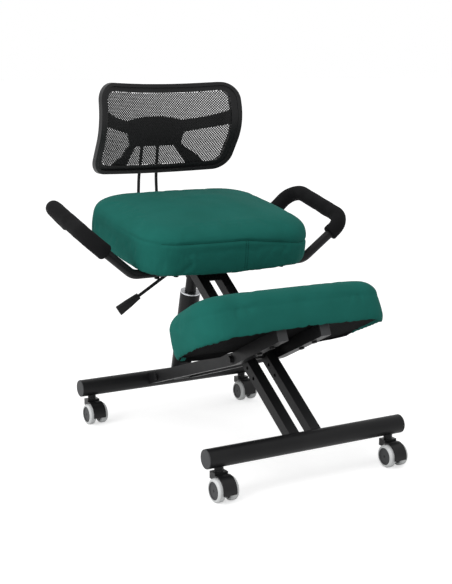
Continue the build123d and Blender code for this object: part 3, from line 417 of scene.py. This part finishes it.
def arc(centre, radius, start, end, count):
    turns = [start + (end - start) * k / count for k in range(count)]
    return [(centre[0] + radius * math.cos(t), centre[1] + radius * math.sin(t)) for t in turns]


def pad_ring(pad, draw):
    """Outline with bowed sides and round corners, drawn in all round, as a ring of points."""
    x, y = pad["width"] / 2 - draw, pad["depth"] / 2 - draw
    share = y / (pad["depth"] / 2)
    bow, corner = pad["bow"] * share, pad["corner"] * share
    side_r = ((y - bow) ** 2 + bow ** 2) / (2 * bow)
    end_r = ((x - bow) ** 2 + bow ** 2) / (2 * bow)
    side_c, end_c = (x - side_r, 0.0), (0.0, y - end_r)
    near, far = side_r - corner, end_r - corner
    gap = math.hypot(side_c[0], end_c[1])
    along = (near ** 2 - far ** 2 + gap ** 2) / (2 * gap)
    off = math.sqrt(near ** 2 - along ** 2)
    step = (-side_c[0] / gap, end_c[1] / gap)
    centre = (side_c[0] + step[0] * along - step[1] * off, step[1] * along + step[0] * off)
    one = math.atan2(centre[1], centre[0] - side_c[0])
    two = math.atan2(centre[1] - end_c[1], centre[0])
    side_steps, corner_steps, end_steps = OUTLINE_STEPS
    quarter = arc(side_c, side_r, 0.0, one, side_steps)
    quarter += arc(centre, corner, one, two, corner_steps)
    quarter += arc(end_c, end_r, two, math.pi / 2, end_steps)
    upper = quarter + [(-px, py) for px, py in reversed(quarter[1:])] + [(-x, 0.0)]
    upper.insert(len(quarter), (0.0, y))
    return upper + [(px, -py) for px, py in reversed(upper[1:-1])]


def pad_levels(pad):
    """Draw and height of each ring, from the hem over the shoulder to the crown."""
    half_depth, boxing, thickness = pad["depth"] / 2, pad["boxing"], pad["thickness"]
    levels = []
    for k in range(HEM_STEPS + 1):
        t = math.pi / 2 * k / HEM_STEPS
        levels.append((HEM_DRAW * (1 - math.sin(t)), HEM_RISE * (1 - math.cos(t))))
    levels += [(0.0, (HEM_RISE + boxing) / 2), (0.0, boxing)]
    rise = thickness - boxing
    for k in range(1, SHOULDER_STEPS + 1):
        t = SHOULDER_TURN * k / SHOULDER_STEPS
        levels.append((SHOULDER_IN * half_depth * (1 - math.cos(t)),
                       boxing + SHOULDER_RISE * rise * math.sin(t)))
    draw, level = levels[-1]
    for k in range(1, CROWN_STEPS + 1):
        u = CROWN_REACH * k / CROWN_STEPS
        levels.append((draw + (half_depth - draw) * u,
                       level + (thickness - level) * (1 - (1 - u) ** 2)))
    return levels


def pad_shell(pad, inset):
    """Closed start shape of a pad, a little smaller than the finished one."""
    tall = (pad["thickness"] - inset) / pad["thickness"]
    outer = []
    for draw, level in pad_levels(pad):
        outer.append([(px, py, level * tall) for px, py in pad_ring(pad, draw + inset)])
    inner = []
    for share in UNDERSIDE_SHARES:
        inner.append([(px * share, py * share, 0.0) for px, py, _ in outer[0]])
    rings = inner + outer
    around = len(rings[0])
    vertices = [(0.0, 0.0, 0.0)] + [point for ring in rings for point in ring]
    vertices.append((0.0, 0.0, pad["thickness"] - inset))
    last = len(vertices) - 1
    faces = [face[::-1] for face in fan(0, 1, around)]
    for k in range(len(rings) - 1):
        faces += band(1 + k * around, 1 + (k + 1) * around, around)
    faces += fan(last, last - around, around)
    return vertices, faces


def remeshed(obj):
    remesh = obj.modifiers.new("voxels", "REMESH")
    remesh.mode = "VOXEL"
    remesh.voxel_size = VOXEL
    made = evaluated_mesh(obj)
    obj.modifiers.clear()
    obj.data = made


def inflated(obj):
    """Cloth under pressure for a few frames, with its travel capped and its foot held."""
    scene = bpy.context.scene
    start = coordinates(obj.data)
    group = obj.vertex_groups.new(name="held")
    group.add([i for i, p in enumerate(start) if p[2] < CLOTH_HELD], 1.0, "REPLACE")
    cloth = obj.modifiers.new("cloth", "CLOTH")
    for key, value in CLOTH.items():
        setattr(cloth.settings, key, value)
    cloth.settings.vertex_group_mass = "held"
    cloth.settings.effector_weights.gravity = 0
    cloth.point_cache.frame_start = 1
    cloth.point_cache.frame_end = CLOTH_FRAMES
    for step in range(1, CLOTH_FRAMES + 1):
        scene.frame_set(step)
    made = evaluated_mesh(obj)
    travel = coordinates(made) - start
    length = np.linalg.norm(travel, axis=1, keepdims=True)
    travel *= np.minimum(1.0, CLOTH_TRAVEL / np.maximum(length, 1e-9))
    obj.modifiers.clear()
    obj.vertex_groups.clear()
    scene.frame_set(1)
    made.vertices.foreach_set("co", (start + travel).ravel())
    made.update()
    obj.data = made


def fitted(obj, node, matrix):
    """Draws the shape out to its solid, by an evened-out shift that keeps the cloth's folds."""
    tree, back = tree_of(nodes[node]), matrix.inverted()
    co = coordinates(obj.data)
    shift = np.zeros_like(co)
    for i, point in enumerate(co):
        if point[2] > HEM_FLAT:
            place = tree.find_nearest(matrix @ Vector(point))[0]
            shift[i] = np.array(back @ place) - point
    edges = np.zeros(len(obj.data.edges) * 2, dtype=int)
    obj.data.edges.foreach_get("vertices", edges)
    one, two = edges.reshape(-1, 2).T
    count = np.bincount(edges, minlength=len(co))[:, None]
    for _ in range(FIT_ROUNDS):
        total = np.zeros_like(shift)
        np.add.at(total, one, shift[two])
        np.add.at(total, two, shift[one])
        shift = total / count
    obj.data.vertices.foreach_set("co", (co + shift).ravel())
    obj.data.update()


def subdivided(obj):
    smooth = obj.modifiers.new("smooth", "SUBSURF")
    smooth.levels = 1
    smooth.render_levels = 1
    made = evaluated_mesh(obj)
    obj.modifiers.clear()
    obj.data = made


def seam_height(pad, x):
    """Height of the boxing seam across the front, which dips towards the right."""
    return pad["boxing"] + pad["seam_rise"] - pad["seam_dip"] * ramp(x, *SEAM_DIP_X)


def edge_distance(pad, x, y):
    """How far a point lies inside the pad's outline."""
    half_x, half_y, corner = pad["width"] / 2, pad["depth"] / 2, pad["corner"]
    out_x = abs(x) - half_x + pad["bow"] * (y / half_y) ** 2 + corner
    out_y = abs(y) - half_y + pad["bow"] * (x / half_x) ** 2 + corner
    return corner - math.hypot(max(out_x, 0.0), max(out_y, 0.0)) - min(max(out_x, out_y), 0.0)


def lip_of(pad, x, y):
    """0 under the board, and 1 out at the hem, where the cloth hangs."""
    return ramp(-edge_distance(pad, x, y), -LIP_FROM, -LIP_TO)


def hang_of(pad, x, y):
    """How far the hem hangs below the board, from left to right and from front to rear."""
    places = (-pad["width"] / 2, 0.0, pad["width"] / 2)
    front = np.interp(x, places, pad["hang_front"])
    rear = np.interp(x, places, pad["hang_rear"])
    back = ramp(y / pad["depth"], *HANG_TURN)
    return front * (1 - back) + rear * back * ramp(abs(x), *ARM_CLEAR)


def sew(obj, pad):
    """Pulls in the front seam, rolls the edge over it, and lets the hem hang in ruffles."""
    half_x, half_y, seed = pad["width"] / 2, pad["depth"] / 2, pad["seed"]
    co = coordinates(obj.data)
    out = co.copy()
    for i, (x, y, z) in enumerate(co):
        side = ramp(max(abs(x) / half_x, abs(y) / half_y), *SIDE_REACH)
        if side == 0.0:
            continue
        flat = Vector((x / half_x ** 2, y / half_y ** 2, 0)).normalized()
        run = math.atan2(y / half_y, x / half_x)
        above = z - seam_height(pad, x)
        uneven = ring_noise(run, UNEVEN_SCALE, seed + 4)
        pull = ramp(-flat.y, *SEAM_FACING) * (SEAM_PULL + SEAM_UNEVEN * uneven)
        pucker = noise.noise(Vector((x * PUCKER_SCALE, y * PUCKER_SCALE, seed + 9)))
        shift = (-pad["seam_depth"] * pull * bell(above, SEAM_WIDTH)
                 + ROLL_OUT * pull * bell(above - ROLL_RISE, ROLL_WIDTH)
                 + PUCKER_OUT * (pucker * bell(above, PUCKER_WIDTH)))
        ruffle = ring_noise(run, RUFFLE_SCALE, seed + 2)
        tight = ring_noise(run, TIGHT_SCALE, seed + 3)
        hem = bell(z, HEM_WIDTH) * pad["ruffle"]
        shift += hem * (RUFFLE_OUT * ruffle + TIGHT_OUT * tight)
        out[i] += np.array(flat) * (shift * side)
        hang = hang_of(pad, x, y) * bell(z, HANG_WIDTH)
        out[i][2] += lip_of(pad, x, y) * (hem * (ruffle + TIGHT_DOWN * tight) - hang)
    obj.data.vertices.foreach_set("co", out.ravel())
    obj.data.update()


def make_cushion(name, matrix, pad, body, node):
    vertices, faces = pad_shell(pad, START_INSET)
    obj = new_piece(name, vertices, faces, MATERIALS["green_fabric"], body)
    remeshed(obj)
    inflated(obj)
    fitted(obj, node, matrix)
    subdivided(obj)
    sew(obj, pad)
    obj.data.transform(matrix)
    smooth_shading(obj.data, PAD_DEGREES)
    give(obj, MATERIALS["green_fabric"])
    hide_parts(node)
    return obj


seat = make_cushion("seat_pad", SEAT, SEAT_PAD, "front_frame", "seat_cushion")
make_cushion("knee_pad", KNEE, KNEE_PAD, "rear_frame", "knee_cushion")


# Seams of the seat's front: a dark bar in the boxing seam's fold, which is painted shade of the
# crease, and a double row of stitches down the boxing

BAR_R, BAR_SIDES = 0.00055, 6
BAR_DEGREES = 50
FOLD_REACH, FOLD_STEPS = 0.19, 90
STITCH, STITCH_GAP, STITCH_STEPS = 0.0036, 0.0012, 3
STITCH_FOOT = 0.004                 # height of the lowest stitch
DOUBLE_SEAM_X = (0.0195, 0.0255)
SEAT_AHEAD = -0.4                   # a place well in front of the seat


def add_round_bar(points, vertices, faces):
    """Adds a thin round bar along some points to lists of vertices and faces."""
    base, last = len(vertices), len(points) - 1
    for i, point in enumerate(points):
        ahead = (points[min(i + 1, last)] - points[max(i - 1, 0)]).normalized()
        across = ahead.cross(Vector((0, 1, 0))).normalized()
        other = ahead.cross(across)
        for k in range(BAR_SIDES):
            turn = 2 * math.pi * k / BAR_SIDES
            arm = across * math.cos(turn) + other * math.sin(turn)
            vertices.append(point + arm * BAR_R)
    for i in range(last):
        faces += band(base + i * BAR_SIDES, base + (i + 1) * BAR_SIDES, BAR_SIDES)
    faces.append(tuple(base + k for k in reversed(range(BAR_SIDES))))
    faces.append(tuple(base + last * BAR_SIDES + k for k in range(BAR_SIDES)))


def make_stitches_and_crease_shade():
    tree = tree_of(seat)
    inward = SEAT.to_3x3() @ Vector((0, 1, 0))

    def on_front(x, z):
        return tree.ray_cast(SEAT @ Vector((x, SEAT_AHEAD, z)), inward)[0]

    vertices, faces = [], []
    fold = [-FOLD_REACH + 2 * FOLD_REACH * k / FOLD_STEPS for k in range(FOLD_STEPS + 1)]
    # A darker bar along the seam's fold: painted shade of the crease
    add_round_bar([on_front(x, seam_height(SEAT_PAD, x)) for x in fold], vertices, faces)
    for x in DOUBLE_SEAM_X:
        z, top = STITCH_FOOT, seam_height(SEAT_PAD, x)
        while z + STITCH < top:
            steps = range(STITCH_STEPS + 1)
            row = [on_front(x, z + STITCH * k / STITCH_STEPS) for k in steps]
            add_round_bar(row, vertices, faces)
            z += STITCH + STITCH_GAP
    obj = new_piece("seat_stitches_and_crease_shade", vertices, faces, MATERIALS["thread_and_crease_shade"], "front_frame")
    smooth_shading(obj.data, BAR_DEGREES)


make_stitches_and_crease_shade()


# Dust covers under the boards, cut roughly at the edge

COVER_LOW, COVER_TOP = -0.0008, -0.0002
COVER_AROUND = 220
COVER_SHARES = (0.35, 0.65, 0.85, 0.95, 1.0)
COVER_REAR = (0.1, 0.6)             # sine of the angle, from the sides round to the rear
CUT_DEPTH = 0.0042
CUT_SCALE, NICK_SCALE, NICK_SHARE = 24, 60, 0.6


def rim_point(angle, half_x, half_y, power):
    """A point of a bowed, round-cornered outline."""
    c, s = math.cos(angle), math.sin(angle)
    x = half_x * math.copysign(abs(c) ** (2 / power), c)
    y = half_y * math.copysign(abs(s) ** (2 / power), s)
    return x, y


def make_cover(name, matrix, pad, body, node, draw, rear_reach, power, seed):
    """Black cloth on the underside, which may run out over the pad's hem at the rear."""
    half_x, half_y = pad["width"] / 2, pad["depth"] / 2
    vertices, faces = [], []
    for level in (COVER_LOW, COVER_TOP):
        vertices.append((0, 0, level))
        for share in COVER_SHARES:
            for i in range(COVER_AROUND):
                angle = 2 * math.pi * i / COVER_AROUND
                edge = draw - rear_reach * ramp(math.sin(angle), *COVER_REAR)
                if share == 1.0 and edge == draw:
                    rough = ring_noise(angle, CUT_SCALE, seed)
                    rough += NICK_SHARE * ring_noise(angle, NICK_SCALE, seed)
                    edge -= CUT_DEPTH * rough
                x, y = rim_point(angle, (half_x - edge) * share, (half_y - edge) * share, power)
                over_hem = rear_reach and y > 0
                drop = lip_of(pad, x, y) * hang_of(pad, x, y) if over_hem else 0.0
                vertices.append((x, y, level - drop))
    half = len(vertices) // 2
    faces += fan(0, 1, COVER_AROUND)
    faces += [face[::-1] for face in fan(half, half + 1, COVER_AROUND)]
    rings = [1 + k * COVER_AROUND for k in range(len(COVER_SHARES))]
    for a, b in zip(rings, rings[1:]):
        faces += band(b, a, COVER_AROUND) + band(half + a, half + b, COVER_AROUND)
    faces += band(half + rings[-1], rings[-1], COVER_AROUND)
    obj = new_piece(name, vertices, faces, MATERIALS["dust_cloth"], body, matrix)
    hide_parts(node)


make_cover("seat_cover_below", SEAT, SEAT_PAD, "front_frame", "seat_dust_cover",
           draw=0.018, rear_reach=0.0, power=4.0, seed=2.2)
make_cover("knee_cover_below", KNEE, KNEE_PAD, "rear_frame", "knee_dust_cover",
           draw=0.015, rear_reach=0.011, power=4.6, seed=8.1)


# Net of the back rest: two sets of flat yarns, woven over and under

NET_PITCH = 0.0046
YARN_HALF_WIDTH = 0.00134
YARN_HALF_THICK = 0.00026
NET_WAVE = 0.0003
NET_SET_BACK = 0.0004               # from the solid's front face to the yarns' middle
NET_AHEAD = 0.1
DIAGONAL = math.sqrt(0.5)


def make_net():
    tree = tree_of(nodes["back_mesh"])
    low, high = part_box("back_mesh")

    def on_net(x, z):
        return tree.ray_cast(Vector((x, low.y - NET_AHEAD, z)), Vector((0, 1, 0)))[0]

    def yarn(hand, k):
        """Sections of one yarn, on its first run across the solid."""
        sections = []
        across = Vector((DIAGONAL, 0, -hand * DIAGONAL)) * YARN_HALF_WIDTH
        depth = Vector((0, YARN_HALF_THICK, 0))
        for m in range(-2 * count, 2 * count + 1):
            u, aside = m * NET_PITCH / 2, k * NET_PITCH
            point = on_net((u + aside) * DIAGONAL, middle + hand * (u - aside) * DIAGONAL)
            if point is None:
                if sections:
                    break
                continue
            over = NET_WAVE * math.cos(math.pi * (m / 2 + k)) * hand
            centre = point + Vector((0, NET_SET_BACK + over, 0))
            sections.append([centre + across, centre + depth, centre - across, centre - depth])
        return sections

    vertices, faces = [], []
    span = (high.x - low.x) + (high.z - low.z)
    count = int(DIAGONAL * span / NET_PITCH) + 2
    middle = (low.z + high.z) / 2
    for hand in (1, -1):
        for k in range(-count, count + 1):
            sections = yarn(hand, k)
            if len(sections) < 2:
                continue
            base = len(vertices)
            end = base + 4 * (len(sections) - 1)
            vertices += [corner for section in sections for corner in section]
            for a in range(base, end, 4):
                faces += band(a, a + 4, 4)
            faces.append((base + 3, base + 2, base + 1, base))
            faces.append((end, end + 1, end + 2, end + 3))
    obj = new_piece("back_net", vertices, faces, MATERIALS["mesh_net"], "front_frame")
    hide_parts("back_mesh")


make_net()


# Foam grips of the arm loops. The loop's corners are those of the right side, in the seat's plane.

LOOP_CORNERS = ((0.233, -0.12, -0.01205), (0.346, -0.12, 0.081),
                (0.346, 0.115, 0.099), (0.233, 0.115, -0.01205))
BEND_R, BEND_STEPS = 0.044, 16
PATH_STEP = 0.003
GRIP_FRONT, GRIP_REAR = 0.63, 0.5   # shares of the two legs at which the foam ends
GRIP_R, TUBE_R = 0.019, 0.011
GRIP_BORE_R = TUBE_R + 0.0002
GRIP_LIP = ((0.0, GRIP_BORE_R), (0.0, GRIP_R - 0.002), (0.0008, GRIP_R - 0.0006))
GRIP_AROUND = 28
GRIP_DEGREES = 50
GRIP_SEED = 3.0
SWELL_OUT, SWELL_ALONG, SWELL_ROUND = 0.0007, 38, 0.8
END_OUT, END_WIDTH = 0.0006, 0.01
CREASE_OUT, CREASE_ALONG, CREASE_ROUND = 0.0008, 120, 0.5


def rounded_path(points):
    """Points along a route whose corners are turned on arcs."""
    route = [points[0]]
    for before, corner, after in zip(points, points[1:], points[2:]):
        a, b = (before - corner).normalized(), (after - corner).normalized()
        half = a.angle(b) / 2
        cut = BEND_R / math.tan(half)
        start, end = corner + a * cut, corner + b * cut
        centre = corner + (a + b).normalized() * (BEND_R / math.sin(half))
        for k in range(BEND_STEPS + 1):
            arm = (start - centre).lerp(end - centre, k / BEND_STEPS).normalized() * BEND_R
            route.append(centre + arm)
    route.append(points[-1])
    fine = [route[0]]
    for p, q in zip(route, route[1:]):
        n = max(1, int((q - p).length / PATH_STEP))
        fine += [p.lerp(q, k / n) for k in range(1, n + 1)]
    return fine


def grip_rings(path, lengths):
    """Centre, direction, radius and run of each ring: out over the front lip, along the foam,
    in over the rear lip, and back along the bore."""
    last = len(path) - 1
    ways = [(path[min(i + 1, last)] - path[max(i - 1, 0)]).normalized() for i in range(last + 1)]
    rings = [(path[0] + ways[0] * d, ways[0], r, lengths[0]) for d, r in GRIP_LIP]
    rings += [(path[i], ways[i], GRIP_R, lengths[i]) for i in range(1, last)]
    rings += [(path[last] - ways[last] * d, ways[last], r, lengths[last])
              for d, r in reversed(GRIP_LIP)]
    rings += [(path[i], ways[i], GRIP_BORE_R, lengths[i]) for i in reversed(range(1, last))]
    return rings


def foam_radius(along, length, angle, seed):
    """Slow swells, fuller ends, and creases on the loop's inner side."""
    swell = noise.noise(Vector((along * SWELL_ALONG, math.cos(angle) * SWELL_ROUND, seed)))
    crease = noise.noise(Vector((along * CREASE_ALONG, CREASE_ROUND, seed + 5)))
    radius = GRIP_R + SWELL_OUT * swell
    radius += END_OUT * bell(min(along, length - along), END_WIDTH)
    return radius + CREASE_OUT * max(0.0, math.cos(angle)) * crease


def make_grip(side, hand):
    p = [SEAT @ Vector((side * x, y, z)) for x, y, z in LOOP_CORNERS]
    path = rounded_path([p[0].lerp(p[1], GRIP_FRONT), p[1], p[2], p[3].lerp(p[2], GRIP_REAR)])
    middle = (p[0] + p[1] + p[2] + p[3]) / 4
    lengths = [0.0]
    for a, b in zip(path, path[1:]):
        lengths.append(lengths[-1] + (b - a).length)
    vertices, faces = [], []
    rings = grip_rings(path, lengths)
    for centre, ahead, radius, along in rings:
        inward = middle - centre
        inward = (inward - ahead * inward.dot(ahead)).normalized()
        other = ahead.cross(inward)
        for k in range(GRIP_AROUND):
            angle = 2 * math.pi * k / GRIP_AROUND
            out = inward * math.cos(angle) + other * math.sin(angle)
            r = radius
            if radius == GRIP_R:
                r = foam_radius(along, lengths[-1], angle, GRIP_SEED + side)
            vertices.append(centre + out * r)
    starts = [i * GRIP_AROUND for i in range(len(rings))]
    for a, b in zip(starts, starts[1:] + starts[:1]):
        faces += band(a, b, GRIP_AROUND)
    obj = new_piece("grip_sleeve_" + hand, vertices, faces, MATERIALS["grip_foam"], "front_frame")
    work = bmesh.new()
    work.from_mesh(obj.data)
    bmesh.ops.recalc_face_normals(work, faces=work.faces)
    work.to_mesh(obj.data)
    work.free()
    smooth_shading(obj.data, GRIP_DEGREES)
    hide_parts("arm_grip_" + hand)


make_grip(-1, "left")
make_grip(1, "right")


# Stage: pale floor, soft light, camera at the photograph's place

FLOOR_HALF = 60.0
FLOOR_TONE = (0.64, 0.64, 0.64)
FLOOR_GLOW = 0.6
WHITE = (1, 1, 1, 1)
WORLD_LIGHT, WORLD_SHOWN = 0.76, 1.0
LIGHT_TARGET = Vector((0, 0, 0.4))
SENSOR_MM, LENS_MM = 36.0, 74.14
CAMERA_PLACE = Vector((-1.41229, -2.41555, 0.88572))
CAMERA_TARGET = Vector((-0.01501, -0.03299, 0.36482))


def background_rays(tree):
    """1 for the rays that show the background: from the camera, from gloss and through glass."""
    path = tree.nodes.new("ShaderNodeLightPath")
    most = tree.nodes.new("ShaderNodeMath")
    most.operation = "MAXIMUM"
    every = tree.nodes.new("ShaderNodeMath")
    every.operation = "MAXIMUM"
    tree.links.new(path.outputs["Is Camera Ray"], most.inputs[0])
    tree.links.new(path.outputs["Is Glossy Ray"], most.inputs[1])
    tree.links.new(most.outputs[0], every.inputs[0])
    tree.links.new(path.outputs["Is Transmission Ray"], every.inputs[1])
    return every.outputs[0]


def make_floor():
    mesh = bpy.data.meshes.new("floor")
    corners = [(-FLOOR_HALF, -FLOOR_HALF, 0), (FLOOR_HALF, -FLOOR_HALF, 0),
               (FLOOR_HALF, FLOOR_HALF, 0), (-FLOOR_HALF, FLOOR_HALF, 0)]
    mesh.from_pydata(corners, [], [(0, 1, 2, 3)])
    floor = add_object("floor", mesh)
    mat = new_material("floor_pale", FLOOR_TONE, rough=0.9, specular=0.1)
    seen = background_rays(mat.node_tree)
    glow = add_node(mat, "ShaderNodeEmission", Strength=FLOOR_GLOW)
    dark = add_node(mat, "ShaderNodeEmission", Strength=0.0)
    pick = add_node(mat, "ShaderNodeMixShader")
    both = add_node(mat, "ShaderNodeAddShader")
    tree = mat.node_tree
    tree.links.new(seen, pick.inputs["Fac"])
    tree.links.new(dark.outputs[0], pick.inputs[1])
    tree.links.new(glow.outputs[0], pick.inputs[2])
    tree.links.new(shader_of(mat).outputs[0], both.inputs[0])
    tree.links.new(pick.outputs[0], both.inputs[1])
    tree.links.new(both.outputs[0], tree.nodes["Material Output"].inputs["Surface"])
    give(floor, mat)


def make_world():
    """White world, which lights the chair a little less than it shows."""
    world = bpy.data.worlds.new("studio")
    bpy.context.scene.world = world
    world.use_nodes = True
    tree = world.node_tree
    light, shown = tree.nodes["Background"], tree.nodes.new("ShaderNodeBackground")
    for node, strength in ((light, WORLD_LIGHT), (shown, WORLD_SHOWN)):
        node.inputs["Color"].default_value = WHITE
        node.inputs["Strength"].default_value = strength
    mix = tree.nodes.new("ShaderNodeMixShader")
    tree.links.new(background_rays(tree), mix.inputs["Fac"])
    tree.links.new(light.outputs[0], mix.inputs[1])
    tree.links.new(shown.outputs[0], mix.inputs[2])
    tree.links.new(mix.outputs[0], tree.nodes["World Output"].inputs["Surface"])


def aim(obj, place, target):
    obj.location = place
    obj.rotation_mode = "QUATERNION"
    obj.rotation_quaternion = (target - place).to_track_quat("-Z", "Y")


def area_light(name, place, size, power):
    data = bpy.data.lights.new(name, "AREA")
    data.shape = "DISK"
    data.size = size
    data.energy = power
    aim(add_object(name, data), Vector(place), LIGHT_TARGET)


def make_camera():
    data = bpy.data.cameras.new("camera")
    data.sensor_width = SENSOR_MM
    data.lens = LENS_MM
    cam = add_object("camera", data)
    aim(cam, CAMERA_PLACE, CAMERA_TARGET)
    bpy.context.scene.camera = cam


make_floor()
make_world()
area_light("key_top", (-0.9, -0.6, 3.2), size=2.6, power=20)
area_light("left_fill", (-3.0, -0.8, 1.4), size=2.0, power=50)
make_camera()
bpy.context.scene.view_settings.view_transform = "Standard"
